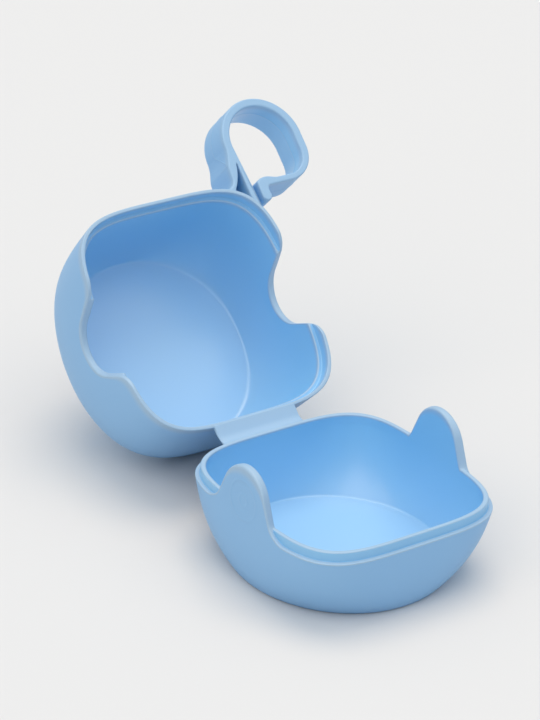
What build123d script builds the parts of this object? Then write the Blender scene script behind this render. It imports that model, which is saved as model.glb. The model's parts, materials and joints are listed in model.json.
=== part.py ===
"""Pacifier sterilizer case: a rounded square base cup and a deeper domed lid, joined along the
back by a folding strap.  Two ears on the base fill two notches in the lid, and a spring hook
on the lid's corner hangs the case from a bag.

Frame: +Z up, the hinge fold runs along X, +Y points to the hinge side.  The origin is the
centre of the base's foot, on the surface the case stands on.  The lid is drawn as if closed,
in a frame of its own that is then laid back about the fold until its crown rests on the
same surface as the foot.  Millimetres throughout.
"""
import os
from math import acos, atan2, cos, degrees, pi, radians, sin

from build123d import *

os.makedirs("parts", exist_ok=True)

# ---------------------------------------------------------------- driving dimensions
half_width = 33.0           # plan outline at the rim, across X
half_depth = 33.65          # plan outline at the rim, along Y
plan_exponent = 4.2         # rounded square at the rim: 2 is an ellipse, higher is squarer

base_depth = 20.6           # seam down to the foot
base_bulge = 3.44           # how long the wall stays upright before it turns in
base_foot_inset = 3.7       # edge of the flat foot, in from the rim's outline
base_rounding = 1.22        # how fast the outline turns from square to round

lid_depth = 35.4            # seam up to the crown
lid_bulge = 4.08
lid_crown_inset = 3.6       # edge of the flat crown, in from the rim's outline
lid_rounding = 0.59

base_wall = 2.4             # wall at the base rim, and thickness of the ears
lid_wall = 2.1              # wall at the lid rim
base_floor = 1.5
lid_roof = 1.5
base_floor_inset = 1.8      # edge of the flat floor, in from the inner wall at the rim
lid_roof_inset = 2.7        # the same for the flat roof inside the lid
edge_round = 1.6            # outer edge of the foot and of the crown

ledge_width = 1.15          # seat for the lid rim, outside the raised lip
lip_height = 2.7
lip_edge_round = 0.35
rebate_depth = 3.3          # recess inside the lid rim that takes the lip
rim_clearance = 0.15        # lid rim to lip, sideways
seam_gap = 0.1              # closed lid to ledge

ear_height = 15.4           # above the ledge
ear_tip_radius = 9.25
ear_flare = 23.8            # flank angle from upright, degrees
ear_root_fillet = 7.2
ear_root_dip = 0.03         # root fillets run this far into the ledge, no feather edge
ear_edge_round = 0.5
ear_setback = 0.05          # ear's outer face, in from the cup's outline
ear_notch_gap = 0.3         # ear to notch, all round
flex_gap = 0.05             # between two pieces at a flex line

pad_ring_height = 5.8       # centre of the press rings, above the ledge
pad_ring_radii = (1.7, 5.6)
pad_ring_width = 0.45
pad_ring_relief = 0.2

hinge_half_width = 13.5
hinge_reach = 3.87          # wall to the fold line
hinge_thickness = 0.9
hinge_flare = 2.4           # root fillets of the strap on the base
hinge_web = 0.4             # what is left of the thickness at the fold
hinge_web_run = 1.0         # and how far the thinning reaches on either side

hook_ring_radius = 10.6     # inside of the ring
hook_strap = 2.65           # strap thickness round the ring
hook_strap_end = 2.1        # strap thickness along the straight end
hook_width = 12.4           # along the lid's height
hook_side_run = 4.5         # straight stretch on the ring's outer side
hook_corner_radius = 9.3    # outer corner between that stretch and the straight end
hook_edge_round = 0.5       # edges of tang and ring
brace_edge_round = 0.4
tang_inset = 4.8            # tang's inner face, in from the lid's side
tang_root_thickness = 2.6
tang_tip_thickness = 1.6
tang_buried = 8.45          # where the taper ends, in from the lid's front
tang_tuck = 0.3             # ring's inner face set back from the tang's tip
ring_drop = 10.55           # ring centre, out from the lid's front
brace_inset = 7.9           # brace's outer face, in from the lid's side
brace_bow = 1.7             # outer face of the brace, bowed out at mid reach
brace_reach = 5.0           # lid front to where brace and tang meet
brace_fillet = 3.0
brace_wall_dip = 1.55       # lid front wall at the brace, back from the furthest front
catch_gap = 1.25            # catch to tang
catch_thickness = 3.3
catch_reach = 4.4           # how far the catch stands back towards the lid
catch_heel = 0.9            # bulge of the catch into the ring
catch_heel_run = 7.9        # and how far along the straight end it fades

cut_past = 1.0              # cutters run this far past what they cut
floor_clearance = 0.02      # lid crown above the surface the foot stands on
outline_points = 32
section_levels = (0.0, 0.3, 0.52, 0.7, 0.84, 0.94, 1.0)    # sections up a wall, closer at the flat
edge_sections = 4           # sections round the outer edge of a flat
slope_step = 0.1            # rise over which the slope of a wall is taken
broad_side_tilt = 60        # a face counts as a broad side of the hook up to this tilt, degrees

# ---------------------------------------------------------------- derived places
seam_z = base_depth
fold_y = half_depth + hinge_reach
fold_z = seam_z + seam_gap / 2
rim_thickness = ledge_width - rim_clearance
base_foot = half_width - base_foot_inset
lid_crown = half_width - lid_crown_inset
base_floor_half = half_width - base_wall - base_floor_inset
lid_roof_half = half_width - lid_wall - lid_roof_inset


def wall_levels(depth, bulge, end_half, inset=0.0, edge=0.0):
    """Rises from the rim, and the share of the rim's size left at each: a list up the wall,
    and a list round the edge arc between the wall and the flat."""
    end_share = end_half / (half_width - inset)
    reach = depth / (1 - end_share**bulge) ** (1 / bulge)

    def share_at(rise):
        return (1 - (rise / reach) ** bulge) ** (1 / bulge)

    turned_in = share_at(depth - edge / 2 - slope_step) - share_at(depth - edge / 2)
    wall_angle = atan2(slope_step, turned_in * half_width)
    wall_end = depth - edge * (1 - cos(wall_angle))
    wall = [(wall_end * level, share_at(wall_end * level)) for level in section_levels]
    arc = []
    for step in range(edge_sections):
        turn = wall_angle * (1 - step / (edge_sections - 1))
        inward = edge * (sin(wall_angle) - sin(turn)) / half_width
        arc.append((depth - edge * (1 - cos(turn)), share_at(wall_end) - inward))
    return wall, arc


def lid_low_point(turn):
    """Height of the lid's lowest point when it is laid back by turn degrees."""
    wall, arc = wall_levels(lid_depth, lid_bulge, lid_crown, edge=edge_round)
    heights = []
    for rise, share in wall + arc:
        back, up = half_depth * share - fold_y, rise + seam_gap / 2
        heights.append(fold_z - back * sin(radians(turn)) + up * cos(radians(turn)))
    return min(heights)


def resting_turn():
    """How far the lid folds back before its crown meets the surface the foot stands on."""
    short, far = 95.0, 179.0
    for _ in range(40):
        middle = (short + far) / 2
        if lid_low_point(middle) > floor_clearance:
            short = middle
        else:
            far = middle
    return short


lid_turn = resting_turn()


def laid_back(y, z):
    """A point of the closed lid, carried to where it lies when the lid is folded back."""
    turn = radians(lid_turn)
    dy, dz = y - fold_y, z - fold_z
    return (fold_y + dy * cos(turn) + dz * sin(turn), fold_z - dy * sin(turn) + dz * cos(turn))


lid_y, lid_z = laid_back(0, seam_z + seam_gap)
lid_up = (0, sin(radians(lid_turn)), cos(radians(lid_turn)))
lid_back = (0, cos(radians(lid_turn)), -sin(radians(lid_turn)))
lid_frame = Plane(origin=(0, lid_y, lid_z), x_dir=(1, 0, 0), z_dir=lid_up)
lid_side = Plane(origin=(0, lid_y, lid_z), x_dir=lid_back, z_dir=(1, 0, 0))
base_side = Plane(origin=(0, 0, seam_z), x_dir=(0, 1, 0), z_dir=(1, 0, 0))


# ---------------------------------------------------------------- shared outlines
def plan_outline(inset=0.0, share=1.0, exponent=plan_exponent):
    """Sketch of the rounded square plan, by the superellipse formula."""
    a = (half_width - inset) * share
    b = (half_depth - inset) * share
    points = []
    for step in range(outline_points):
        angle = 2 * pi * step / outline_points
        size = (abs(cos(angle) / a) ** exponent + abs(sin(angle) / b) ** exponent) ** (-1 / exponent)
        points.append((size * cos(angle), size * sin(angle)))
    with BuildSketch() as outline:
        with BuildLine():
            Spline(*points, periodic=True)
        make_face()
    return outline.sketch


def bowl(frame, depth, bulge, end_half, rounding, inset=0.0, edge=0.0):
    """Solid from the rounded square rim to the near-round flat, depth along frame's Z.  The
    wall meets the flat in an arc of radius edge, or in a crisp line."""
    wall, arc = wall_levels(depth, bulge, end_half, inset, edge)
    with BuildPart() as solid:
        for levels in (wall, arc) if edge else (wall,):
            with BuildPart(mode=Mode.PRIVATE) as band:
                for rise, share in levels:
                    exponent = 2 + (plan_exponent - 2) * (1 - rise / depth) ** rounding
                    with BuildSketch(frame.offset(rise)):
                        add(plan_outline(inset, share, exponent))
                loft()
            add(band.part)
    return solid.part


def rim_prism(frame, inset, height):
    """Upright block with the plan outline."""
    with BuildPart() as block:
        with BuildSketch(frame):
            add(plan_outline(inset))
        extrude(amount=height)
    return block.part


def ear_profile(gap=0.0, skirt=0.0):
    """Side view of an ear: X is back, Y is up from the ledge.  The gap enlarges it into the
    notch it fills, and the skirt carries it below the ledge."""
    flare = radians(ear_flare)
    tip = ear_tip_radius + gap
    tip_z = ear_height - ear_tip_radius
    flank_y, flank_z = tip * cos(flare), tip_z + tip * sin(flare)
    root = ear_root_fillet - gap
    root_z = root - ear_root_dip
    root_y = flank_y + (root - (root_z - flank_z) * sin(flare)) / cos(flare)
    dip_turn = degrees(acos(root_z / root))
    end_y = root_y - root * sin(radians(dip_turn))
    root_sweep = 90 - ear_flare - dip_turn
    with BuildSketch() as profile:
        with BuildLine():
            CenterArc((0, tip_z), tip, ear_flare, 180 - 2 * ear_flare)
            for side in (1, -1):
                foot = (side * (root_y - root * cos(flare)), root_z - root * sin(flare))
                Line((side * flank_y, flank_z), foot)
                start = 180 + ear_flare if side > 0 else -90 + dip_turn
                CenterArc((side * root_y, root_z), root, start, root_sweep)
            if skirt:
                Polyline((-end_y, 0), (-end_y, -skirt), (end_y, -skirt), (end_y, 0))
            else:
                Line((-end_y, 0), (end_y, 0))
        make_face()
    return profile.sketch


# ---------------------------------------------------------------- outer forms
rim_plane = Plane.XY.offset(seam_z)
below_rim = Plane(origin=(0, 0, seam_z), x_dir=(1, 0, 0), z_dir=(0, 0, -1))

base_outer = bowl(below_rim, base_depth, base_bulge, base_foot, base_rounding, edge=edge_round)
lid_outer = bowl(lid_frame, lid_depth, lid_bulge, lid_crown, lid_rounding, edge=edge_round)


# ---------------------------------------------------------------- ears
def ear_slab(top, both_sides=False):
    """The ears from the ledge up to a height, solid right through to the middle."""
    with BuildPart() as slab:
        with BuildSketch(base_side):
            add(ear_profile())
            with Locations((0, (top - cut_past) / 2)):
                Rectangle(2 * half_depth, top + cut_past, mode=Mode.INTERSECT)
        extrude(amount=half_width + cut_past, both=both_sides)
        add(rim_prism(rim_plane, ear_setback, ear_height), mode=Mode.INTERSECT)
    return slab.part


with BuildPart() as right_ear:
    add(ear_slab(ear_height + cut_past))
    add(rim_prism(rim_plane, base_wall, ear_height), mode=Mode.SUBTRACT)
    tip_edges = right_ear.edges().filter_by(lambda e: e.center().Z > seam_z + ear_tip_radius)
    fillet(tip_edges.filter_by(lambda e: e.length > ear_tip_radius), ear_edge_round)
    pad_plane = Plane(
        origin=(half_width - base_wall / 2, 0, seam_z + pad_ring_height),
        x_dir=(0, 1, 0),
        z_dir=(1, 0, 0),
    )
    with BuildSketch(pad_plane):
        for radius in pad_ring_radii:
            with BuildSketch(mode=Mode.PRIVATE) as ring:
                Circle(radius + pad_ring_width / 2)
                Circle(radius - pad_ring_width / 2, mode=Mode.SUBTRACT)
            add(ring.sketch)
    extrude(amount=base_wall / 2 + pad_ring_relief)
    with BuildSketch(rim_plane.offset(-cut_past)):
        Rectangle(2 * half_width + 2 * cut_past, 2 * half_depth)
    extrude(amount=cut_past + lip_height + flex_gap, mode=Mode.SUBTRACT)
right_ear.part.label = "right_ear"

with BuildPart() as left_ear:
    mirror(right_ear.part, about=Plane.YZ)
left_ear.part.label = "left_ear"


# ---------------------------------------------------------------- base
with BuildPart() as base_shell:
    add(base_outer)
    add(rim_prism(rim_plane, ledge_width, lip_height))
    fillet(base_shell.faces().sort_by(Axis.Z)[-1].edges(), lip_edge_round)
    add(ear_slab(lip_height, both_sides=True))
    add(
        bowl(
            below_rim, base_depth - base_floor, base_bulge, base_floor_half,
            base_rounding, inset=base_wall,
        ),
        mode=Mode.SUBTRACT,
    )
    add(rim_prism(rim_plane, base_wall, lip_height), mode=Mode.SUBTRACT)
base_shell.part.label = "base_shell"


# ---------------------------------------------------------------- hinge strap
def strap_leaf(flare):
    """Plan of one leaf of the strap, from the wall to just short of the fold line."""
    end = fold_y - flex_gap
    with BuildSketch() as leaf:
        with BuildLine():
            Polyline(
                (-hinge_half_width, half_depth + flare),
                (-hinge_half_width, end),
                (hinge_half_width, end),
                (hinge_half_width, half_depth + flare),
            )
            for side in (1, -1):
                wall_point = (side * (hinge_half_width + flare), half_depth)
                if flare:
                    RadiusArc(
                        (side * hinge_half_width, half_depth + flare), wall_point, side * flare
                    )
                Line(wall_point, (side * (hinge_half_width + flare), half_depth / 2))
            Line(
                (-hinge_half_width - flare, half_depth / 2),
                (hinge_half_width + flare, half_depth / 2),
            )
        make_face()
    return leaf.sketch


def web_cut(side_plane, outward):
    """Wedge that thins a leaf towards the fold, from the side outward points to."""
    slope = hinge_web_run / (hinge_thickness - hinge_web)
    far = hinge_thickness + cut_past
    with BuildPart() as cut:
        with BuildSketch(side_plane):
            with BuildLine():
                Polyline(
                    (fold_y, outward * hinge_web),
                    (fold_y, outward * far),
                    (fold_y - slope * (far - hinge_web), outward * far),
                    close=True,
                )
            make_face()
        extrude(amount=hinge_half_width + cut_past, both=True)
    return cut.part


with BuildPart() as base_hinge_leaf:
    with BuildSketch(Plane.XY.offset(seam_z - hinge_thickness)):
        add(strap_leaf(hinge_flare))
    extrude(amount=hinge_thickness)
    add(web_cut(base_side, -1), mode=Mode.SUBTRACT)
    add(base_outer, mode=Mode.SUBTRACT)
base_hinge_leaf.part.label = "base_hinge_leaf"

with BuildPart() as lid_hinge_leaf:
    with BuildSketch(lid_frame):
        add(strap_leaf(0.0))
    extrude(amount=hinge_thickness)
    add(web_cut(lid_side, 1), mode=Mode.SUBTRACT)
    add(lid_outer, mode=Mode.SUBTRACT)
lid_hinge_leaf.part.label = "lid_hinge_leaf"


# ---------------------------------------------------------------- lid
with BuildPart() as lid_shell:
    add(lid_outer)
    add(
        bowl(
            lid_frame, lid_depth - lid_roof, lid_bulge, lid_roof_half,
            lid_rounding, inset=lid_wall,
        ),
        mode=Mode.SUBTRACT,
    )
    add(rim_prism(lid_frame, rim_thickness, rebate_depth), mode=Mode.SUBTRACT)
    with BuildSketch(lid_side):
        add(ear_profile(gap=ear_notch_gap, skirt=cut_past))
    extrude(amount=half_width + cut_past, both=True, mode=Mode.SUBTRACT)
lid_shell.part.label = "lid_shell"


# ---------------------------------------------------------------- hook
tang_x = half_width - tang_inset
tang_root_y = -(half_depth - tang_buried)
brace_x = half_width - brace_inset
ring_x = tang_x + tang_tip_thickness + hook_ring_radius - tang_tuck
ring_y = -(half_depth + ring_drop)
ring_outer = hook_ring_radius + hook_strap
root_x = ring_x - hook_ring_radius - hook_strap / 2
brace_end_y = -(half_depth + brace_reach)
brace_wall_y = -half_depth + brace_wall_dip


def broad_side_edges(piece):
    """Edges of a hook piece's rim side and back side."""
    found = ShapeList()
    for face in piece.faces():
        if abs(face.normal_at().dot(Vector(*lid_up))) > cos(radians(broad_side_tilt)):
            found += face.edges()
    return found.filter_by(lambda edge: edge.length > hook_edge_round)


with BuildPart() as hook_brace:
    with BuildSketch(lid_frame):
        with BuildLine():
            Polyline(
                (brace_x, brace_end_y),
                (brace_x, brace_wall_y - brace_fillet),
            )
            CenterArc((brace_x - brace_fillet, brace_wall_y - brace_fillet), brace_fillet, 0, 90)
            Polyline(
                (brace_x - brace_fillet, brace_wall_y),
                (brace_x - brace_fillet, -half_depth / 2),
                (brace_x - brace_fillet / 2, -half_depth / 2),
                (brace_x - brace_fillet / 3, brace_wall_y),
            )
            ThreePointArc(
                (brace_x - brace_fillet / 3, brace_wall_y),
                (brace_x + brace_bow, brace_wall_y - brace_reach / 2),
                (tang_x, brace_end_y),
            )
            Line((tang_x, brace_end_y), (brace_x, brace_end_y))
        make_face()
    extrude(amount=hook_width)
    add(lid_outer, mode=Mode.SUBTRACT)
    arcs = broad_side_edges(hook_brace).filter_by(GeomType.CIRCLE)
    fillet(arcs.filter_by(lambda edge: edge.radius > brace_fillet), brace_edge_round)
hook_brace.part.label = "hook_brace"

with BuildPart() as hook_tang:
    with BuildSketch(lid_frame):
        with BuildLine():
            Polyline(
                (tang_x, -half_depth / 2),
                (tang_x, brace_end_y),
                (brace_x, brace_end_y),
                (ring_x - ring_outer, ring_y),
                (ring_x - hook_ring_radius, ring_y),
                (tang_x + tang_root_thickness, tang_root_y),
                (tang_x + tang_root_thickness, -half_depth / 2),
                close=True,
            )
        make_face()
        with Locations((root_x, ring_y)):
            Circle(hook_strap / 2 + flex_gap, mode=Mode.SUBTRACT)
    extrude(amount=hook_width)
    long_edges = broad_side_edges(hook_tang).filter_by(lambda edge: edge.length > hook_width)
    fillet(long_edges, hook_edge_round)
    add(lid_outer, mode=Mode.SUBTRACT)
hook_tang.part.label = "hook_tang"

with BuildPart() as hook_ring:
    with BuildSketch(lid_frame):
        side_y = ring_y + hook_side_run
        corner_x = ring_x + ring_outer - hook_corner_radius
        top_y = side_y + hook_corner_radius
        inner_y = top_y - hook_strap_end
        inner_corner = ring_x + hook_ring_radius - corner_x
        catch_x = tang_x + tang_root_thickness + catch_gap
        catch_round = catch_thickness / 2
        catch_y = top_y + catch_reach - catch_round
        with BuildLine():
            CenterArc((ring_x, ring_y), ring_outer, 180, 180)
            Line((ring_x + ring_outer, ring_y), (ring_x + ring_outer, side_y))
            CenterArc((corner_x, side_y), hook_corner_radius, 0, 90)
            Polyline(
                (corner_x, top_y),
                (catch_x + catch_thickness, top_y),
                (catch_x + catch_thickness, catch_y),
            )
            CenterArc((catch_x + catch_round, catch_y), catch_round, 0, 180)
            Line((catch_x, catch_y), (catch_x, inner_y))
            Spline(
                (catch_x, inner_y),
                (catch_x + catch_thickness, inner_y - catch_heel),
                (catch_x + catch_heel_run, inner_y),
                tangents=((0, -1), (1, 0)),
            )
            Line((catch_x + catch_heel_run, inner_y), (corner_x, inner_y))
            CenterArc((corner_x, inner_y - inner_corner), inner_corner, 0, 90)
            Line(
                (ring_x + hook_ring_radius, inner_y - inner_corner),
                (ring_x + hook_ring_radius, ring_y),
            )
            CenterArc((ring_x, ring_y), hook_ring_radius, 180, 180)
            Line((ring_x - ring_outer, ring_y), (ring_x - hook_ring_radius, ring_y))
        make_face()
        with Locations((root_x, ring_y)):
            Circle(hook_strap / 2)
    extrude(amount=hook_width)
    fillet(broad_side_edges(hook_ring), hook_edge_round)
hook_ring.part.label = "hook_ring"

for piece in (
    base_shell, base_hinge_leaf, right_ear, left_ear, lid_shell, lid_hinge_leaf,
    hook_brace, hook_tang, hook_ring,
):
    export_step(piece.part, f"parts/{piece.part.label}.step")
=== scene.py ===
"""Pacifier sterilizer case: the moulded surfaces of the cup, the ears, the lid, the strap and
the hook, in satin light blue plastic, on a pale studio floor.  Sizes are in millimetres until
the meshes are made."""

import json
from collections import namedtuple
from math import atan2, cos, pi, radians, sin, sqrt, tan

import bmesh
import bpy
import numpy as np
from mathutils import Matrix, Vector


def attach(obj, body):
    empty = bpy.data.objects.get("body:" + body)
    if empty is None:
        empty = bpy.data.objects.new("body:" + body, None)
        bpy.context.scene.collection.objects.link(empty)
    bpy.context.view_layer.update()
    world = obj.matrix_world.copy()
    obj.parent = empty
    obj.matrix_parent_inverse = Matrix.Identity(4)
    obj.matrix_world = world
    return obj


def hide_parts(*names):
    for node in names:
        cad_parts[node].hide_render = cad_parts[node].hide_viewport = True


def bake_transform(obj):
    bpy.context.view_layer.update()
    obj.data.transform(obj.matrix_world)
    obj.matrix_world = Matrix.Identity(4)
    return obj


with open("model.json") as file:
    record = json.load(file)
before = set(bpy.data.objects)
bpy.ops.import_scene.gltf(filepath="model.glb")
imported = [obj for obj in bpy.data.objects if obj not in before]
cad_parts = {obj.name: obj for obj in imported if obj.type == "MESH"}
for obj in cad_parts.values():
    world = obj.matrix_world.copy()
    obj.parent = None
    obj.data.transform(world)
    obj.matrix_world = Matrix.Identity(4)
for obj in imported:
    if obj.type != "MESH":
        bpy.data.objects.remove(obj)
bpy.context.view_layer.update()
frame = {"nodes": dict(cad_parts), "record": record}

# ---------------------------------------------------------------- sizes of the case
# Half the rim's length along x and y, and the exponent of its rounded square.
HALF_X, HALF_Y, SQUARE = 33.0, 33.649, 4.2
LEDGE, CUP_WALL, LIP = 1.15, 2.4, 2.7
LID_RIM, LID_WALL, REBATE = 1.0, 2.1, 3.3
# A bowl's wall: how full it is (bulge), half the width of its flat, how fast the outline turns
# round on the way down (rounding), its inset at the rim and the radius round the flat (edge).
Form = namedtuple("Form", "depth bulge flat rounding inset edge")
CUP = Form(depth=20.6, bulge=3.44, flat=29.3, rounding=1.22, inset=0.0, edge=1.6)
CUP_IN = Form(depth=19.1, bulge=3.44, flat=28.8, rounding=1.22, inset=CUP_WALL, edge=0.7)
LID = Form(depth=35.4, bulge=4.08, flat=29.4, rounding=0.59, inset=0.0, edge=1.6)
LID_IN = Form(depth=33.9, bulge=4.08, flat=28.2, rounding=0.59, inset=LID_WALL, edge=0.7)
SEAM, SEAM_GAP = CUP.depth, 0.1
EAR_HEIGHT, EAR_TIP, EAR_FLARE, EAR_ROOT, EAR_DIP = 15.4, 9.25, 23.8, 7.2, 0.03
EAR_CUT, EAR_BEND = 2.85, 3.0
NOTCH_GAP = 0.3
PAD_HEIGHT, PAD_RADII, PAD_RISE, PAD_WIDTH, PAD_DEPTH = 5.8, (1.7, 5.6), 0.12, 0.3, 0.9

hinge = next(j for j in frame["record"]["behaviour"]["joints"] if j["name"] == "lid_hinge")
FOLD_Y, FOLD_Z = hinge["pos_m"][1] * 1000, hinge["pos_m"][2] * 1000
LID_TURN = radians(hinge["range_deg"][1])


def laid_back(points):
    """Points of the closed lid, z counted up from its rim, carried to where the lid lies."""
    points = np.asarray(points, float)
    y, z = points[:, 1] - FOLD_Y, points[:, 2] + SEAM + SEAM_GAP - FOLD_Z
    return np.stack(
        [
            points[:, 0],
            FOLD_Y + y * cos(LID_TURN) + z * sin(LID_TURN),
            FOLD_Z - y * sin(LID_TURN) + z * cos(LID_TURN),
        ],
        axis=1,
    )


# ---------------------------------------------------------------- meshes
def linked(name, data):
    """An object that shows the data, linked to the scene."""
    obj = bpy.data.objects.new(name, data)
    bpy.context.scene.collection.objects.link(obj)
    return obj


def make_mesh(name, points, faces, attributes, flat=()):
    """A mesh object from points in millimetres, with closed outward faces.  Shading is smooth
    but for caps of many corners and the faces numbered in flat."""
    data = bpy.data.meshes.new(name)
    data.from_pydata((np.asarray(points) / 1000).tolist(), [], faces)
    for key, values in attributes.items():
        layer = data.attributes.new(key, "FLOAT", "POINT")
        layer.data.foreach_set("value", np.asarray(values, np.float32))
    bm = bmesh.new()
    bm.from_mesh(data)
    for number, face in enumerate(bm.faces):
        face.smooth = len(face.verts) <= 4 and number not in flat
    bmesh.ops.remove_doubles(bm, verts=bm.verts, dist=1e-7)
    bmesh.ops.recalc_face_normals(bm, faces=bm.faces)
    bm.to_mesh(data)
    bm.free()
    return linked(name, data)


def tube_faces(rows, count, first=0):
    """Quads between closed rings of count points; first is the number of the first point."""
    faces = []
    for row in range(rows - 1):
        low, high = first + row * count, first + (row + 1) * count
        for i in range(count):
            j = (i + 1) % count
            faces.append((low + i, low + j, high + j, high + i))
    return faces


def capped_tube_faces(rows, count):
    """The same with one face over the first ring and one over the last."""
    ends = [tuple(range(count)), tuple(range((rows - 1) * count, rows * count))]
    return tube_faces(rows, count) + ends


def bowl_faces(rows, count):
    """The same with a fan to a point before the first ring and one after the last."""
    faces = tube_faces(rows, count, 1)
    last = 1 + rows * count
    for i in range(count):
        j = (i + 1) % count
        faces.append((0, 1 + j, 1 + i))
        faces.append((last, last - count + i, last - count + j))
    return faces


# ---------------------------------------------------------------- the bowls' shared outlines
SIDE_SAMPLES, END_SAMPLES, SIDE_END = 20001, 400, 0.99999
EAR_SPAN, EAR_STEP, REST_STEP = 18.0, 0.3, 0.75
SIDE_SHARE = 0.7


def smooth(value, low, high):
    """0 below low, 1 above high, and a soft turn between."""
    t = np.clip((np.asarray(value, float) - low) / (high - low), 0, 1)
    return t * t * (3 - 2 * t)


def stations():
    """Polar angles round the rim: close together over the ears, further apart elsewhere."""
    y = np.linspace(0, HALF_Y * SIDE_END, SIDE_SAMPLES)
    x = HALF_X * (1 - (y / HALF_Y) ** SQUARE) ** (1 / SQUARE)
    end_x = np.linspace(x[-1], 0, END_SAMPLES)[1:]
    end_y = HALF_Y * (1 - (end_x / HALF_X) ** SQUARE) ** (1 / SQUARE)
    x, y = np.append(x, end_x), np.append(y, end_y)
    run = np.concatenate([[0], np.cumsum(np.hypot(np.diff(x), np.diff(y)))])
    ear_run = np.interp(EAR_SPAN, y[:SIDE_SAMPLES], run[:SIDE_SAMPLES])
    ear_steps, rest_steps = int(ear_run / EAR_STEP), int((run[-1] - ear_run) / REST_STEP)
    marks = np.append(
        np.linspace(0, ear_run, ear_steps, endpoint=False),
        np.linspace(ear_run, run[-1], rest_steps + 1),
    )
    quarter = np.arctan2(np.interp(marks, run, y), np.interp(marks, run, x))
    quarter[-1] = pi / 2
    half = np.append(quarter, pi - quarter[-2::-1])
    return np.append(half, half[1:-1] + pi)


ANGLES = stations()
COUNT = len(ANGLES)
COS, SIN = np.cos(ANGLES), np.sin(ANGLES)


def ring(inset, share, exponent):
    """Points of the rounded square outline, one per station."""
    a, b = (HALF_X - inset) * share, (HALF_Y - inset) * share
    size = (np.abs(COS / a) ** exponent + np.abs(SIN / b) ** exponent) ** (-1 / exponent)
    return size * COS, size * SIN


def share_at(form, rise):
    """Share of the rim's size left at a rise from the rim."""
    end = form.flat / (HALF_X - form.inset)
    reach = form.depth / (1 - end**form.bulge) ** (1 / form.bulge)
    return (1 - (np.clip(rise, 0, form.depth) / reach) ** form.bulge) ** (1 / form.bulge)


def squareness(form, rise):
    """Exponent of the outline at a rise from the rim."""
    left = np.clip(1 - np.asarray(rise, float) / form.depth, 0, 1)
    return 2 + (SQUARE - 2) * left**form.rounding


def wall_ring(form, inset, rise):
    """(x, y, rise) ring of a wall at a rise from the rim."""
    return ring(inset, share_at(form, rise), squareness(form, rise)) + (rise,)


def cup_ring(form, inset, height):
    """(x, y, height) ring of the cup's wall by the height over the rim's plane.  Above that
    plane the wall goes straight up."""
    below = np.maximum(0, -np.asarray(height, float)) * np.ones(COUNT)
    return wall_ring(form, inset, below)[:2] + (height,)


CUP_WALL_ROWS, LID_WALL_ROWS, ARC_ROWS, FLAT_ROWS = 30, 26, 7, 5
ROW_CROWDING = 1.4


def bowl_rows(form, first_rise, wall_rows):
    """(x, y, rise) rings from a rise down the wall, round the edge and in over the flat."""
    depth, edge = form.depth, form.edge
    probe = 0.1
    slope = share_at(form, depth - edge / 2 - probe) - share_at(form, depth - edge / 2)
    wall_angle = atan2(probe, slope * HALF_X)
    wall_end = depth - edge * (1 - cos(wall_angle))
    rows = []
    for step in range(wall_rows + 1):
        part_way = 1 - (1 - step / wall_rows) ** ROW_CROWDING
        rise = first_rise + (wall_end - first_rise) * part_way
        rows.append(wall_ring(form, form.inset, rise))
    end_share = float(share_at(form, wall_end))
    for step in range(1, ARC_ROWS + 1):
        turn = wall_angle * (1 - step / ARC_ROWS)
        rise = depth - edge * (1 - cos(turn))
        share = end_share - edge * (sin(wall_angle) - sin(turn)) / HALF_X
        rows.append(ring(form.inset, share, squareness(form, rise)) + (rise,))
    for step in range(1, FLAT_ROWS):
        rows.append(ring(form.inset, share * (1 - step / FLAT_ROWS), 2.0) + (depth,))
    return rows


def bowl_points(rows, first, last):
    """Points of (x, y, z) rings, with the middle of the first flat before and that of the last
    after them."""
    points = [np.array([[0, 0, first]])]
    points += [np.stack([part * np.ones(COUNT) for part in row], axis=1) for row in rows]
    points.append(np.array([[0, 0, last]]))
    return np.concatenate(points)


def ear_line(y, gap):
    """Height of the ear's outline above the ledge, by the place along the side."""
    flare = radians(EAR_FLARE)
    tip, root = EAR_TIP + gap, EAR_ROOT - gap
    tip_z = EAR_HEIGHT - EAR_TIP
    flank_y, flank_z = tip * cos(flare), tip_z + tip * sin(flare)
    root_z = root - EAR_DIP
    root_y = flank_y + (root - (root_z - flank_z) * sin(flare)) / cos(flare)
    foot_y = root_y - root * cos(flare)
    y = np.abs(y)
    on_tip = tip_z + np.sqrt(np.clip(tip**2 - y**2, 0, None))
    on_flank = flank_z - (y - flank_y) / tan(flare)
    on_root = root_z - np.sqrt(np.clip(root**2 - (y - root_y) ** 2, 0, None))
    height = np.where(y < flank_y, on_tip, np.where(y < foot_y, on_flank, on_root))
    return np.where(y < root_y, np.clip(height, 0, None), 0.0)


def side_height(gap=0.0):
    """The ear's outline at each station, none along the front and back."""
    x, y = ring(0.0, 1.0, SQUARE)
    height = np.where(np.abs(x) > HALF_X / 2, ear_line(y, gap), 0.0)
    return height * (np.abs(y) < HALF_Y * SIDE_SHARE)


# ---------------------------------------------------------------- the bowls' rims
QUARTER = [pi / 2 * step / 6 for step in range(7)]
STEP_FADE = 0.9
# A rim's rounding, and what an ear or its notch adds once it has risen by EAR_RISE.
EAR_RISE = (0.5, 4.0)
CUP_OUTER_R, CUP_INNER_R, LID_RIM_R = (0.3, 0.55), (0.4, 0.2), (0.3, 0.35)


def rim_radius(level, radii):
    """Radius of a rim's rounding at each station."""
    plain, added = radii
    return plain + added * smooth(level, *EAR_RISE)


def outer_rounding(level, radius, up):
    """(inset, height) rows from the outer wall round to a rim's top; up is 1, or -1 for a rim
    that looks down."""
    return [(radius * (1 - cos(a)), level - up * radius * (1 - sin(a))) for a in QUARTER]


def inner_rounding(level, inset, radius, up):
    """The same from a rim's top round to the inner wall, which stands at an inset."""
    return [
        (inset - radius * (1 - sin(a)), level - up * radius * (1 - cos(a))) for a in QUARTER
    ]


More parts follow.
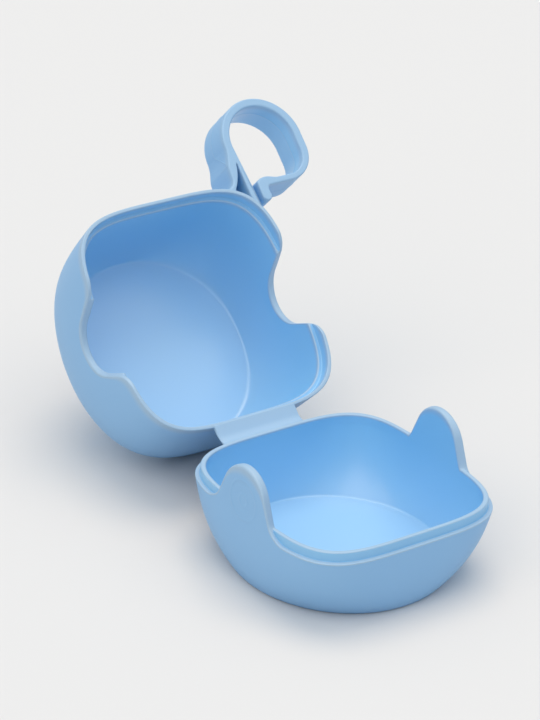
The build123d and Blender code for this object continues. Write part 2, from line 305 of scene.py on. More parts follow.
def foot_arc(inset, height, radius, turns):
    """Section points that turn from level to upright."""
    arc = [radians(turn) for turn in turns]
    return [(inset + radius * sin(a), height + radius * (1 - cos(a))) for a in arc]


def brow_arc(inset, height, radius, turns):
    """Section points that turn from upright to level."""
    arc = [radians(turn) for turn in turns]
    return [(inset + radius * (1 - cos(a)), height + radius * sin(a)) for a in arc]


def step_left(level, depth):
    """The height left of a rim's step at each station, and 1 where the step shows."""
    left = np.maximum(0, depth - level)
    return left, smooth(left, 0.0, STEP_FADE)


def over_step(section, level, depth, start, end):
    """(inset, height) rows over a rim with the section of its whole step.  level is the rim's
    height at each station.  Where it has passed the step, the rows lie spread over one flat
    top instead, from the inset start to end."""
    left, stepped = step_left(level, depth)
    rows = []
    for number, (inset, rise) in enumerate(section, 1):
        spread = start + (end - start) * number / (len(section) + 1)
        rows.append((spread + (inset - spread) * stepped, level + rise / depth * left))
    return rows


# ---------------------------------------------------------------- looks and painted light that follow the rows
# Rows over which the painted rim highlight fades in, the share of the inside's painted bounce
# blue on a rim's step, where the painted light on the inner wall and flat starts and fades in,
# and how much of it the wall gets.
RIM_FADE = 7
STEP_INSIDE = 0.7
PAINTED_LIGHT_START, EDGE_FADE = 10, 4
WALL_PAINTED_LIGHT = 0.65


def rows_and_stations(row_count):
    """The row and the station of each point of a bowl, the middles of its two flats counted
    with the nearest row."""
    order = np.arange(row_count * COUNT + 2) - 1
    row = order // COUNT
    row[0], row[-1] = 0, row_count - 1
    return row, order % COUNT


def row_marks(row_count, rim_span, step_span, stepped, flat_light_share):
    """How far each point shows the inner side with its painted bounce light, the painted
    highlight on the rim and the painted light on the flat, which also grows along the inner
    wall towards the flat.  step_span counts the step's rows from the rim's first row."""
    row, station = rows_and_stations(row_count)
    rim_start, rim_end = rim_span
    # The inner side, glossier and with painted bounce light, starts at the rim's end.
    inside = smooth(row, rim_end - 1, rim_end + 1)
    # Painted highlight on the rim, fading in over a few rows before it.
    rim = smooth(row, rim_start - RIM_FADE, rim_start)
    rim *= 1 - smooth(row, rim_end - 2, rim_end + 1)
    step_start, step_end = rim_start + step_span[0], rim_start + step_span[1]
    step = smooth(row, step_start - 1, step_start) * stepped[station]
    step *= 1 - smooth(row, step_end, step_end + 2)
    flat_start = row_count - FLAT_ROWS
    # Painted light: the inner wall grows paler towards the flat, and the flat is palest.
    pale = WALL_PAINTED_LIGHT * smooth(row, rim_end + PAINTED_LIGHT_START, flat_start - EDGE_FADE)
    pale += (1 - WALL_PAINTED_LIGHT) * smooth(row, flat_start - EDGE_FADE, flat_start)
    return {
        "inside": np.maximum(inside, STEP_INSIDE * step),
        "rim": rim * (1 - step),
        "floor": pale * flat_light_share,
    }


# ---------------------------------------------------------------- cup with its ears, cut apart
CUP_REACH = 2.0
CUP_OUTER_ROWS, CUP_INNER_ROWS = 46, 20
LIP_FOOT_R, LIP_BROW_R = 0.22, 0.4
# Rows of the lip's step, and the strength of the painted light on the cup's flat.
CUP_STEP_ROWS, CUP_FLAT_LIGHT = (9, 13), 0.8


def with_press_rings(points, row, rim_start):
    """Faint raised rings on the ears' outer faces."""
    away = np.hypot(points[:, 1], points[:, 2] - PAD_HEIGHT)
    rise = sum(np.exp(-(((away - radius) / PAD_WIDTH) ** 2)) for radius in PAD_RADII)
    outside = (row <= rim_start) & (points[:, 2] > -CUP_REACH)
    outside &= np.abs(points[:, 0]) > HALF_X - PAD_DEPTH
    points[:, 0] += PAD_RISE * rise * np.sign(points[:, 0]) * outside
    return points


def lip_section(outer_round, inner_round):
    """(inset, rise) over the ledge, up the lip and over its brow."""
    foot, brow = LEDGE - LIP_FOOT_R, LIP - LIP_BROW_R
    section = [((outer_round + foot) / 2, 0.0), (foot, 0.0)]
    section += foot_arc(foot, 0.0, LIP_FOOT_R, (30, 60, 90))
    section.append((LEDGE, LIP * 0.45))
    section += brow_arc(LEDGE, brow, LIP_BROW_R, (0, 22, 45, 68, 90))
    section.append(((LEDGE + LIP_BROW_R + CUP_WALL - inner_round) / 2, LIP))
    return section


def cup_mesh():
    """The whole cup: outer flat, outer wall, rim with lip and ears, inner wall, inner flat."""
    level = side_height()
    outer_round, inner_round = rim_radius(level, CUP_OUTER_R), rim_radius(level, CUP_INNER_R)
    rows = [(x, y, -rise) for x, y, rise in reversed(bowl_rows(CUP, CUP_REACH, CUP_WALL_ROWS))]
    wall_top = level - outer_round
    for step in range(1, CUP_OUTER_ROWS):
        z = -CUP_REACH + (wall_top + CUP_REACH) * step / CUP_OUTER_ROWS
        rows.append(cup_ring(CUP, 0.0, z))
    rim_start = len(rows)
    top = np.maximum(level, LIP)
    section = lip_section(outer_round, inner_round)
    rim = outer_rounding(level, outer_round, 1)
    rim += over_step(section, level, LIP, outer_round, CUP_WALL - inner_round)
    rim += inner_rounding(top, CUP_WALL, inner_round, 1)
    rows += [cup_ring(CUP, inset, z) for inset, z in rim]
    rim_end = len(rows)
    wall_top = top - inner_round
    for step in range(1, CUP_INNER_ROWS):
        z = wall_top + (-CUP_REACH - wall_top) * step / CUP_INNER_ROWS
        rows.append(cup_ring(CUP_IN, CUP_WALL, z))
    rows += [(x, y, -rise) for x, y, rise in bowl_rows(CUP_IN, CUP_REACH, CUP_WALL_ROWS)]
    points = bowl_points(rows, -CUP.depth, -CUP_IN.depth)
    points = with_press_rings(points, rows_and_stations(len(rows))[0], rim_start)
    stepped = step_left(level, LIP)[1]
    marks = row_marks(len(rows), (rim_start, rim_end), CUP_STEP_ROWS, stepped, CUP_FLAT_LIGHT)
    points += np.array([0, 0, SEAM])
    return make_mesh("cup", points, bowl_faces(len(rows), COUNT), marks)


def cut_away(obj, name, keep_above, side=None):
    """A copy of obj with what lies above or below the ears' cut, closed there."""
    data = obj.data.copy()
    bm = bmesh.new()
    bm.from_mesh(data)
    bmesh.ops.bisect_plane(
        bm,
        geom=bm.verts[:] + bm.edges[:] + bm.faces[:],
        plane_co=(0, 0, (SEAM + EAR_CUT) / 1000),
        plane_no=(0, 0, 1),
        clear_inner=keep_above,
        clear_outer=not keep_above,
    )
    if side:
        others = [v for v in bm.verts if v.co.x * side < 0]
        bmesh.ops.delete(bm, geom=others, context="VERTS")
    rim_edges = [e for e in bm.edges if e.is_boundary]
    filled = bmesh.ops.triangle_fill(bm, use_beauty=True, use_dissolve=False, edges=rim_edges)
    for edge in rim_edges:
        edge.smooth = False
    for item in filled["geom"]:
        if isinstance(item, bmesh.types.BMFace):
            item.smooth = False
    bmesh.ops.recalc_face_normals(bm, faces=bm.faces)
    bm.to_mesh(data)
    bm.free()
    return linked(name, data)


whole_cup = cup_mesh()
right_ear = cut_away(whole_cup, "right_ear_skin", True, 1)
left_ear = cut_away(whole_cup, "left_ear_skin", True, -1)
cup = cut_away(whole_cup, "cup_skin", False)
bpy.data.objects.remove(whole_cup)

# ---------------------------------------------------------------- lid
LID_REACH = EAR_HEIGHT + 4.0
LID_OUTER_ROWS, LID_INNER_ROWS = 40, 24
LID_BROW_R, REBATE_R = 0.2, 0.25
# Rows of the rebate's step, and the strength of the painted light on the lid's flat.
LID_STEP_ROWS, LID_FLAT_LIGHT = (12, 17), 1.0


def rebate_section(rounding):
    """(inset, rise) over the lid's rim and into the recess for the cup's lip."""
    turns = (0, 30, 60, 90)
    brow, deep = LID_RIM - LID_BROW_R, REBATE - REBATE_R
    section = [((rounding + brow) / 2, 0.0)]
    section += foot_arc(brow, 0.0, LID_BROW_R, turns)
    section.append((LID_RIM, REBATE * 0.5))
    section += brow_arc(LID_RIM, deep, REBATE_R, turns)
    section.append(((LID_RIM + REBATE_R + LID_WALL - rounding) / 2, REBATE))
    return section


def lid_mesh():
    """The lid, built mouth down over its rim's plane and laid back as it lies."""
    level = side_height(NOTCH_GAP)
    rounding = rim_radius(level, LID_RIM_R)
    rows = bowl_rows(LID, LID_REACH, LID_WALL_ROWS)[::-1]
    wall_top = level + rounding
    for step in range(1, LID_OUTER_ROWS):
        rise = LID_REACH + (wall_top - LID_REACH) * step / LID_OUTER_ROWS
        rows.append(wall_ring(LID, 0.0, rise))
    rim_start = len(rows)
    top = np.maximum(level, REBATE)
    rim = outer_rounding(level, rounding, -1)
    rim += over_step(rebate_section(rounding), level, REBATE, rounding, LID_WALL - rounding)
    rim += inner_rounding(top, LID_WALL, rounding, -1)
    rows += [wall_ring(LID, inset, rise) for inset, rise in rim]
    rim_end = len(rows)
    wall_top = top + rounding
    for step in range(1, LID_INNER_ROWS):
        rise = wall_top + (LID_REACH - wall_top) * step / LID_INNER_ROWS
        rows.append(wall_ring(LID_IN, LID_WALL, rise))
    rows += bowl_rows(LID_IN, LID_REACH, LID_WALL_ROWS)
    points = laid_back(bowl_points(rows, LID.depth, LID_IN.depth))
    stepped = step_left(level, REBATE)[1]
    marks = row_marks(len(rows), (rim_start, rim_end), LID_STEP_ROWS, stepped, LID_FLAT_LIGHT)
    return make_mesh("lid_skin", points, bowl_faces(len(rows), COUNT), marks)


lid = lid_mesh()

# ---------------------------------------------------------------- plates with rounded edges
PARTING_RISE, PARTING_WIDTH = 0.09, 0.13
RIDGE_STEPS, RIDGE_SHARE = (-2.5, -1.5, -0.8, 0, 0.8, 1.5, 2.5), 0.6
PARTING_MARGIN = 0.5
PLAIN_STEPS = 5
CAP_RIM = 0.05
SHARP_CORNER, LONGEST_MITRE = 0.15, 1.4
HOOK_LEVELS, HOOK_EDGE = (0.02, 12.4), 0.5
# Where the hook's front face shows a painted highlight instead of the inner look, and how
# strong the painted highlight is there and on the parting ridges.
FRONT_SPAN, FRONT_HIGHLIGHT, RIDGE_HIGHLIGHT = (0.3, 2.6), 0.6, 0.8


def side_wall(low, high, parting, taper):
    """(inset, height) up a side wall: a fine parting ridge at a height, and the wall drawn in
    by taper from there to the far side.  Without a parting there is no ridge."""
    middle = parting if parting > 0 else (low + high) / 2
    middle = float(np.clip(middle, low + PARTING_MARGIN, high - PARTING_MARGIN))
    near = [middle + step * PARTING_WIDTH for step in RIDGE_STEPS]
    heights = list(np.linspace(low, near[0], PLAIN_STEPS)[:-1]) + near
    heights += list(np.linspace(near[-1], high, PLAIN_STEPS)[1:])
    rise = PARTING_RISE if parting > 0 else 0.0
    rows = []
    for z in heights:
        ridge = rise * float(np.exp(-(((z - middle) / PARTING_WIDTH) ** 2)))
        rows.append((taper * max(0.0, z - middle) / (high - middle) - ridge, z))
    return rows


def edge_profile(low, high, radius, parting, taper):
    """(inset, height) from one face of a plate round its edge to the other face."""
    steps = [radians(turn) for turn in (0, 18, 36, 54, 72)]
    rows = [(radius + CAP_RIM, low)]
    rows += [(radius * (1 - sin(a)), low + radius * (1 - cos(a))) for a in steps]
    rows += side_wall(low + radius, high - radius, parting, taper)
    for a in reversed(steps):
        rows.append((taper + radius * (1 - sin(a)), high - radius * (1 - cos(a))))
    return rows + [(taper + radius + CAP_RIM, high)]


def inset_moves(points, kept):
    """Unit inset of each corner of a closed contour; the sides numbered in kept stay."""
    count = len(points)
    along = np.roll(points, -1, axis=0) - points
    along /= np.linalg.norm(along, axis=1)[:, None]
    turned = np.stack([-along[:, 1], along[:, 0]], axis=1)
    x, y = points[:, 0], points[:, 1]
    if np.sum(x * np.roll(y, -1) - np.roll(x, -1) * y) < 0:
        turned = -turned
    moves = []
    for i in range(count):
        before, after = turned[i - 1], turned[i]
        far = (0.0 if (i - 1) % count in kept else 1.0, 0.0 if i in kept else 1.0)
        cross = before[0] * after[1] - before[1] * after[0]
        if abs(cross) < SHARP_CORNER:
            move = (before + after) * sum(far) / 2 / (1 + before @ after)
        else:
            move = np.linalg.solve(np.array([before, after]), np.array(far))
        moves.append(move * min(1.0, LONGEST_MITRE / max(np.linalg.norm(move), 0.001)))
    return moves


def plate(name, contour, kept, parting, taper, inner):
    """A plate from the lid's rim plane to the hook's width, with a plan contour and rounded
    edges.  parting, taper and inner hold a height, an inset and a share of the inner look,
    glossier and painted a deeper blue for bounce light, for each point of the contour."""
    base = np.array(contour, float)
    moves = inset_moves(base, kept)
    count = len(base)
    columns = [edge_profile(*HOOK_LEVELS, HOOK_EDGE, *pair) for pair in zip(parting, taper)]
    rows = len(columns[0])
    points = []
    for row in range(rows):
        for i in range(count):
            inset, z = columns[i][row]
            x, y = base[i] + moves[i] * (inset + PARTING_RISE)
            points.append((x, y, z))
    flat = {row * count + i for row in range(rows - 1) for i in kept}
    height = np.array(points)[:, 2]
    ridge = np.tile(parting, rows)
    ridge_highlight = (ridge > 0) & (np.abs(height - ridge) < RIDGE_SHARE * PARTING_WIDTH)
    front = smooth(-height, -FRONT_SPAN[1], -FRONT_SPAN[0])
    # Painted highlights on the front face and the parting ridge; the front face drops the inner
    # look.
    marks = {
        "inside": np.tile(inner, rows) * (1 - front),
        "rim": np.maximum(FRONT_HIGHLIGHT * front, RIDGE_HIGHLIGHT * ridge_highlight),
    }
    return make_mesh(name, laid_back(points), capped_tube_faces(rows, count), marks, flat)


# ---------------------------------------------------------------- folding strap
STRAP_HALF, STRAP_THICK, STRAP_FLARE, STRAP_OVERLAP = 13.5, 0.9, 2.4, 0.4
# How far the strap's ends stand out from the lip's foot and from the step in the lid's rim.
STRAP_START, STRAP_END = 0.1, 0.25
STRAP_TURN_R, STRAP_LIFT, STRAP_EDGE = 4.0, 0.02, 0.3
STRAP_THINNING, THIN_ROWS = 0.35, 6
STRAP_PATH_POINTS, STRAP_FACE_POINTS, STRAP_CORNER_STEPS = 14, 16, 4
# Strength of the painted rim highlight over the whole strap.
STRAP_RIM_HIGHLIGHT = 0.8


def strap_path():
    """(y, z, slope) of the strap's top: level from the ledge, up round the fold and on over the
    lid's rim."""
    even = np.linspace(0, 1, STRAP_PATH_POINTS)
    slope = pi - LID_TURN
    tangent = STRAP_TURN_R * tan(slope / 2)
    turn_y, top_z = FOLD_Y - tangent, SEAM + STRAP_LIFT
    start = HALF_Y - LEDGE + STRAP_START
    path = [(start + (turn_y - start) * t, top_z, 0.0) for t in even]
    for a in slope * even[1:]:
        path.append((turn_y + STRAP_TURN_R * sin(a), top_z + STRAP_TURN_R * (1 - cos(a)), a))
    y, z, _ = path[-1]
    _, end_y, end_z = laid_back([[0, HALF_Y - LID_RIM + STRAP_END, -STRAP_LIFT]])[0]
    return path + [(y + (end_y - y) * t, z + (end_z - z) * t, slope) for t in even[1:]]


def strap_section(half, thick):
    """(x, depth) points round the strap: top, right edge, underside, left edge."""
    edge = min(STRAP_EDGE, thick * 0.45)
    across = (half - edge) * np.linspace(-1, 1, STRAP_FACE_POINTS)

    def corner(x, z, start, steps=STRAP_CORNER_STEPS):
        turns = [radians(start - 90 * n / STRAP_CORNER_STEPS) for n in range(1, steps + 1)]
        return [(x + edge * cos(a), z + edge * sin(a)) for a in turns]

    section = [(x, 0.0) for x in across]
    section += corner(half - edge, -edge, 90) + corner(half - edge, edge - thick, 0)
    section += [(x, -thick) for x in across[-2::-1]]
    section += corner(edge - half, edge - thick, -90)
    return section + corner(edge - half, -edge, -180, STRAP_CORNER_STEPS - 1)


def strap_mesh():
    """The strap, flared at the cup and thinner along the fold."""
    path = strap_path()
    points = []
    for number, (y, z, a) in enumerate(path):
        out = y - HALF_Y
        half = STRAP_HALF
        if out < 0:
            half += STRAP_FLARE + STRAP_OVERLAP
        elif out < STRAP_FLARE and a == 0:
            half += STRAP_FLARE - sqrt(STRAP_FLARE**2 - (STRAP_FLARE - out) ** 2)
        fold_away = abs(number - len(path) / 2) / THIN_ROWS
        section = strap_section(half, STRAP_THICK - STRAP_THINNING * np.exp(-(fold_away**2)))
        points += [(x, y - sin(a) * depth, z + cos(a) * depth) for x, depth in section]
    # The strap carries the painted rim highlight all over.
    marks = {"rim": np.full(len(points), STRAP_RIM_HIGHLIGHT)}
    faces = capped_tube_faces(len(path), len(section))
    return make_mesh("strap_skin", points, faces, marks)


strap = strap_mesh()

# ---------------------------------------------------------------- hook
TANG_X, TANG_ROOT, TANG_TIP = HALF_X - 4.8, 2.6, 1.6
TANG_SIDE, TANG_SIDE_YS = TANG_X + 0.1, (-38.4, -28.6)
RING_R, RING_T, END_T, RING_LAP = 10.6, 2.65, 2.1, 0.3
RING_X, RING_Y = TANG_X + TANG_TIP + RING_R - RING_LAP, -(HALF_Y + 10.55)
RING_OUT = RING_R + RING_T
SIDE_RUN, CORNER_R = 4.5, 9.3
# Plan points of the brace: outside from the ring to the foot, inside from the rim to the cleft.
BRACE_FOOT, BRACE_FILLET = (24.75, -35.1), 3.0
BRACE_OUTSIDE = [(26.45, -42.2), (25.6, -39.9), (25.05, -38.2), BRACE_FOOT]
BRACE_INSIDE = [(24.75, -31.5), (26.0, -33.2), (27.1, -35.3), (27.9, -37.4), (TANG_X, -38.75)]
CLEFT = [(TANG_X + 0.02, -38.9), (TANG_SIDE, -38.75)]
BRACE_END_X = 24.6
ROOT_SUNK = 0.5
CATCH_X, CATCH_T, CATCH_FILLET = TANG_X + TANG_ROOT + 1.25, 3.3, 0.9
CATCH_HEEL, CATCH_RUN, CATCH_REACH = 0.9, 7.9, 4.4
CATCH_NECK = ((-0.15, 1.3), (-0.1, 1.9))
# How far past an arc, the heel and the nose the straight stretch after it starts, how far over
# the ring's inner face the nose's side ends, and where the heel's arc has its centre.
ARC_JOIN, HEEL_JOIN, NOSE_JOIN = 0.8, 0.6, 0.4
NOSE_END, HEEL_LIFT = 0.9, 0.8
# The ring is cut from its root at this angle, with close contour steps beside the cut.
ARC_END = 232.0
CUT_GRADES = np.array([0.04, 0.12, 0.32])
OUTER_PARTING, INNER_PARTING, PARTING_END_Y = 7.3, 5.0, -(HALF_Y + 5.0)
INNER_TAPER = 0.5


def around(centre, radius, start, end, steps):
    """Plan points of an arc, both ends included, closer together beside the ring's cut."""
    turns = np.linspace(start, end, steps + 1)
    if start == ARC_END:
        turns = np.insert(turns, 1, start + (turns[1] - start) * CUT_GRADES)
    if end == ARC_END:
        turns = np.insert(turns, -1, end + (turns[-2] - end) * CUT_GRADES[::-1])
    turns = np.radians(turns)
    return [(centre[0] + radius * cos(a), centre[1] + radius * sin(a)) for a in turns]


def between(start, end, steps):
    """Plan points from start on towards end, the end left out."""
    return [
        (start[0] + (end[0] - start[0]) * t, start[1] + (end[1] - start[1]) * t)
        for t in np.arange(steps) / steps
    ]


def through(points, steps=5):
    """A smooth curve through plan points, by Catmull-Rom, the last point left out."""
    p = np.array([points[0]] + list(points) + [points[-1]], float)
    out = []
    for i in range(1, len(p) - 2):
        for t in np.arange(steps) / steps:
            a, b, c, d = p[i - 1], p[i], p[i + 1], p[i + 2]
            spot = b + t / 2 * (c - a) + t**2 * (a - 2.5 * b + 2 * c - d / 2)
            spot += t**3 * (1.5 * (b - c) + (d - a) / 2)
            out.append(tuple(spot))
    return out


def in_the_rim(start_x, end_x, steps=5):
    """Plan points inside the thickness of the lid's front rim."""
    out = []
    for x in np.linspace(start_x, end_x, steps + 1):
        share = 1 - (x / (HALF_X - ROOT_SUNK)) ** SQUARE
        out.append((x, -(HALF_Y - ROOT_SUNK) * share ** (1 / SQUARE)))
    return out


def root_contour():
    """Brace, tang and the ring's first stretch."""
    centre = (RING_X, RING_Y)
    fillet_centre = (BRACE_FOOT[0] - BRACE_FILLET, BRACE_FOOT[1])
    outer_arc = around(centre, RING_OUT, ARC_END, 180, 24)[:-1]
    outer_side = through([(RING_X - RING_OUT, RING_Y)] + BRACE_OUTSIDE)
    outer_side += around(fillet_centre, BRACE_FILLET, 0, 88, 10)
    brace_end = in_the_rim(outer_side[-1][0], BRACE_END_X)
    hole = through(BRACE_INSIDE) + CLEFT
    hole += between((TANG_SIDE, TANG_SIDE_YS[0]), (TANG_SIDE, TANG_SIDE_YS[1]), 20)
    tang_end = in_the_rim(TANG_SIDE, TANG_X + TANG_ROOT)
    far_foot = (TANG_X + TANG_ROOT, tang_end[-1][1] - 0.3)
    far_side = between(far_foot, (RING_X - RING_R, RING_Y), 30)
    inner_arc = around(centre, RING_R, 180, ARC_END, 24)
    points, kept, parting, taper, inner = [], set(), [], [], []
    for part in (outer_arc, outer_side, brace_end, hole, tang_end, far_side, inner_arc):
        if part is brace_end or part is tang_end:
            kept |= set(range(len(points), len(points) + len(part) - 1))
        for number, (x, y) in enumerate(part):
            height, drawn_in = 0.0, 0.0
            if part is outer_arc:
                height = OUTER_PARTING
            elif part is outer_side:
                left = (PARTING_END_Y - y) / (PARTING_END_Y - RING_Y)
                height = OUTER_PARTING * max(0.0, left)
            elif part is inner_arc:
                height, drawn_in = INNER_PARTING, INNER_TAPER * number / len(part)
            points.append((x, y))
            parting.append(height)
            taper.append(drawn_in)
            # The inner look, with its painted bounce light, in the hole and on the ring's inner
            # side.
            inner.append(1.0 if part is hole or part is inner_arc else 0.0)
    taper[-1] = INNER_TAPER
    return points, kept | {len(points) - 1}, parting, taper, inner


def ring_contour():
    """The ring from there on, its straight end and the catch."""
    centre = (RING_X, RING_Y)
    side_y = RING_Y + SIDE_RUN
    corner_x = RING_X + RING_OUT - CORNER_R
    top_y = side_y + CORNER_R
    inner_y = top_y - END_T
    inner_x = RING_X + RING_R
    inner_corner = inner_x - corner_x
    x_end = CATCH_X + CATCH_T
    fillet_x = x_end + CATCH_FILLET
    half = CATCH_T / 2
    nose_y = top_y + CATCH_REACH - half
    outer = around(centre, RING_OUT, ARC_END, 360, 40)
    outer += around((corner_x, side_y), CORNER_R, 0, 90, 20)
    outer += between((corner_x - ARC_JOIN, top_y), (fillet_x, top_y), 10)
    catch = around((fillet_x, top_y + CATCH_FILLET), CATCH_FILLET, 270, 180, 6)
    catch += [(x_end + x, top_y + y) for x, y in CATCH_NECK]
    catch += around((CATCH_X + half, nose_y), half, 0, 180, 16)
    catch += between((CATCH_X, nose_y - NOSE_JOIN), (CATCH_X, inner_y + NOSE_END), 4)
    for a in np.radians(np.linspace(180, 270, 12)):
        heel_y = inner_y + HEEL_LIFT + (CATCH_HEEL + HEEL_LIFT) * sin(a)
        catch.append((x_end + CATCH_T * cos(a), heel_y))
    fade = np.linspace(0, 1, 13)[1:]
    heel = []
    for t in fade:
        x = x_end + (CATCH_RUN - CATCH_T) * t
        heel.append((x, inner_y - CATCH_HEEL * (1 - t * t * (3 - 2 * t))))
    corner_y = inner_y - inner_corner
    within = between((heel[-1][0] + HEEL_JOIN, inner_y), (corner_x, inner_y), 4)
    within += around((corner_x, corner_y), inner_corner, 90, 0, 16)
    within += between((inner_x, corner_y - ARC_JOIN), (inner_x, RING_Y), 4)
    within += around(centre, RING_R, 360, ARC_END, 40)
    points = outer + catch + heel + within
    parting = [OUTER_PARTING] * len(outer) + [0.0] * len(catch)
    parting += [INNER_PARTING] * (len(heel) + len(within))
    taper = [0.0] * (len(outer) + len(catch)) + list(INNER_TAPER * fade)
    taper += [INNER_TAPER] * len(within)
    # The inner look, with painted bounce light: half on the catch, full on the ring's inner
    # side.
    inner = [0.0] * len(outer) + [0.5] * len(catch) + [1.0] * (len(heel) + len(within))
    return points, {len(points) - 1}, parting, taper, inner


hook_root = plate("hook_root_skin", *root_contour())
hook_ring = plate("hook_ring_skin", *ring_contour())

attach(cup, "base")
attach(lid, "lid")
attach(hook_ring, "hook_gate")
for ear, side, body in (
    (right_ear, 1, "right_ear_body"),
    (left_ear, -1, "left_ear_body"),
):
    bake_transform(ear)
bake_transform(strap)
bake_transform(hook_root)
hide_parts("base_shell")
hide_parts("right_ear")
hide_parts("left_ear")
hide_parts("lid_shell")
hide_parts("base_hinge_leaf", "lid_hinge_leaf")
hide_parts("hook_brace", "hook_tang")
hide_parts("hook_ring")

# ---------------------------------------------------------------- plastic
OUTER_BLUE, OUTER_BLUE_PALER = (0.25, 0.49, 0.78), (0.27, 0.51, 0.79)
# Painted bounce light: the inside is drawn in a deeper, brighter blue than the same plastic
# outside.
INNER_BOUNCE_LIGHT_BLUE = (0.23, 0.55, 0.86)
# Painted light: up-facing flats, and the inner walls towards them, drawn paler as if lit from
# above.
PAINTED_FLAT_LIGHT_BLUE = (0.38, 0.64, 0.89)
# Painted highlight: rims, the strap, the hook's front face and its parting ridges drawn paler
# and greyer.
RIM_HIGHLIGHT_BLUE, RIM_HIGHLIGHT_SHARE = (0.38, 0.53, 0.68), 0.8
OUTER_ROUGHNESS, INNER_ROUGHNESS = 0.46, 0.28
OUTER_SPECULAR, INNER_SPECULAR = 0.5, 1.0


def add_node(tree, kind, values=None):
    """A new shader node with some of its inputs set."""
    node = tree.nodes.new("ShaderNode" + kind)
    for key, value in (values or {}).items():
        node.inputs[key].default_value = value
    return node


def plastic():
    """Satin, pale blue: glossier inside, with painted bounce light drawing the inside a deeper
    blue, painted light making the flats paler and painted highlights making the rims paler.
    """
    material = bpy.data.materials.new("blue_polypropylene")
    material.use_nodes = True
    tree = material.node_tree
    links = tree.links
    shader = tree.nodes["Principled BSDF"]
    shader.inputs["IOR"].default_value = 1.49
    place = add_node(tree, "TexCoord").outputs["Object"]

    def mark(name):
        node = add_node(tree, "Attribute")
        node.attribute_name = name
        return node.outputs["Fac"]

    def noise(values):
        node = add_node(tree, "TexNoise", values)
        links.new(place, node.inputs["Vector"])
        return node.outputs["Fac"]

    def mixed(first, second, factor):
        """first turning to second with factor; each a colour or a socket."""
        mix = add_node(tree, "Mix")
        mix.data_type = "RGBA"
        for key, value in (("A", first), ("B", second)):
            if isinstance(value, tuple):
                mix.inputs[key].default_value = value + (1,)
            else:
                links.new(value, mix.inputs[key])
        links.new(factor, mix.inputs["Factor"])
        return mix.outputs["Result"]

    def inside_sets(key, outer_value, inner_value):
        """A shader input that goes from one value outside to another inside."""
        span = add_node(tree, "MapRange", {"To Min": outer_value, "To Max": inner_value})
        links.new(inside, span.inputs["Value"])
        links.new(span.outputs["Result"], shader.inputs[key])

    inside = mark("inside")
    colour = mixed(OUTER_BLUE, OUTER_BLUE_PALER, noise({"Scale": 60.0, "Detail": 3.0}))
    # Painted bounce light on the inner side.
    colour = mixed(colour, INNER_BOUNCE_LIGHT_BLUE, inside)
    # Painted light on the inner flats and the walls leading to them.
    colour = mixed(colour, PAINTED_FLAT_LIGHT_BLUE, mark("floor"))
    # Painted highlight on rims, strap, the hook's front face and ridges.
    rim_highlight_amount = add_node(tree, "Math", {1: RIM_HIGHLIGHT_SHARE})
    rim_highlight_amount.operation = "MULTIPLY"
    links.new(mark("rim"), rim_highlight_amount.inputs[0])
    colour = mixed(colour, RIM_HIGHLIGHT_BLUE, rim_highlight_amount.outputs["Value"])
    links.new(colour, shader.inputs["Base Color"])
    inside_sets("Roughness", OUTER_ROUGHNESS, INNER_ROUGHNESS)
    inside_sets("Specular IOR Level", OUTER_SPECULAR, INNER_SPECULAR)
    bump = add_node(tree, "Bump", {"Strength": 0.04, "Distance": 0.0002})
    links.new(noise({"Scale": 1400.0}), bump.inputs["Height"])
    links.new(bump.outputs["Normal"], shader.inputs["Normal"])
    return material


blue = plastic()
for piece in (cup, right_ear, left_ear, strap, lid, hook_root, hook_ring):
    piece.data.materials.clear()
    piece.data.materials.append(blue)
for node in frame["nodes"].values():
    node.data.materials.clear()
    node.data.materials.append(blue)

# ---------------------------------------------------------------- studio
FLOOR_HALF, FLOOR_GREY, FLOOR_ROUGHNESS = 6, 0.72, 0.9
# Bluish sky and warm suns add up to a neutral floor and leave the shadows blue.
SUN_COLOUR, SKY_COLOUR = (1.36, 1.07, 0.77), (0.72, 0.91, 1.10)
# The sky's strength grows from the horizon up to this height.
SKY_FULL_AT, SKY_LOW, SKY_HIGH = 0.7, 0.16, 0.85

floor_data = bpy.data.meshes.new("floor")
corners = [(-1, -1), (1, -1), (1, 1), (-1, 1)]
corners = [(x * FLOOR_HALF, y * FLOOR_HALF, 0) for x, y in corners]
floor_data.from_pydata(corners, [], [(0, 1, 2, 3)])
floor = linked("floor", floor_data)
paper = bpy.data.materials.new("pale_paper")
paper.use_nodes = True
sheet = paper.node_tree.nodes["Principled BSDF"]
sheet.inputs["Base Color"].default_value = (FLOOR_GREY, FLOOR_GREY, FLOOR_GREY, 1)
sheet.inputs["Roughness"].default_value = FLOOR_ROUGHNESS
sheet.inputs["Specular IOR Level"].default_value = 0.0
floor_data.materials.append(paper)

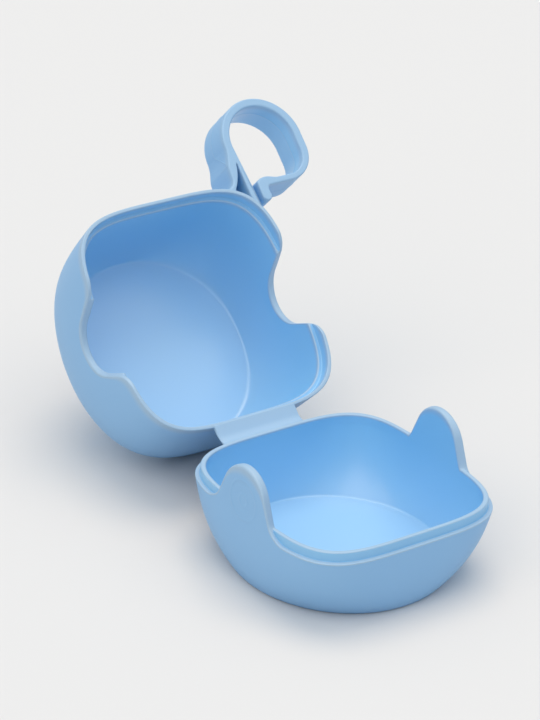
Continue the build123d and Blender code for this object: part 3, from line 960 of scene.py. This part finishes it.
world = bpy.data.worlds.new("studio")
bpy.context.scene.world = world
world.use_nodes = True
world_tree = world.node_tree
sky = world_tree.nodes["Background"]
sky.inputs["Color"].default_value = SKY_COLOUR + (1,)
direction = add_node(world_tree, "TexCoord")
axes = add_node(world_tree, "SeparateXYZ")
overhead = add_node(
    world_tree, "MapRange", {"From Max": SKY_FULL_AT, "To Min": SKY_LOW, "To Max": SKY_HIGH}
)
world_tree.links.new(direction.outputs["Generated"], axes.inputs["Vector"])
world_tree.links.new(axes.outputs["Z"], overhead.inputs["Value"])
world_tree.links.new(overhead.outputs["Result"], sky.inputs["Strength"])


def sun(name, azimuth, elevation, strength, softness):
    """A lamp whose light comes from that side: azimuth 0 is the front, 90 the +X side."""
    lamp = bpy.data.lights.new(name, "SUN")
    lamp.energy = strength
    lamp.color = SUN_COLOUR
    lamp.angle = radians(softness)
    obj = linked(name, lamp)
    a, e = radians(azimuth), radians(elevation)
    toward = Vector((sin(a) * cos(e), -cos(a) * cos(e), sin(e)))
    obj.rotation_euler = toward.to_track_quat("Z", "Y").to_euler()


sun("key", 145, 76, 0.83, 40)
sun("front", 20, 62, 0.28, 60)
sun("side", -75, 45, 0.68, 60)

# ---------------------------------------------------------------- camera
AZIMUTH, ELEVATION, ROLL = radians(-37.544), radians(27.069), radians(3.762)
DISTANCE, SHIFT_X, SHIFT_Y, LENS = 805.46, -19.463, 34.063, 151.84
back = Vector((sin(AZIMUTH) * cos(ELEVATION), -cos(AZIMUTH) * cos(ELEVATION), sin(ELEVATION)))
level_right = Vector((cos(AZIMUTH), sin(AZIMUTH), 0))
level_up = back.cross(level_right)
right = cos(ROLL) * level_right + sin(ROLL) * level_up
up = -sin(ROLL) * level_right + cos(ROLL) * level_up
spot = SHIFT_X * right + SHIFT_Y * up + back * DISTANCE + Vector((0, 0, SEAM))
camera_data = bpy.data.cameras.new("camera")
camera_data.sensor_width = 36
camera_data.lens = LENS
camera_data.clip_start, camera_data.clip_end = 0.05, 50
camera = linked("camera", camera_data)
turn = Matrix((right, up, back)).transposed().to_4x4()
camera.matrix_world = Matrix.Translation(spot / 1000) @ turn
bpy.context.scene.camera = camera
bpy.context.scene.view_settings.view_transform = "Standard"
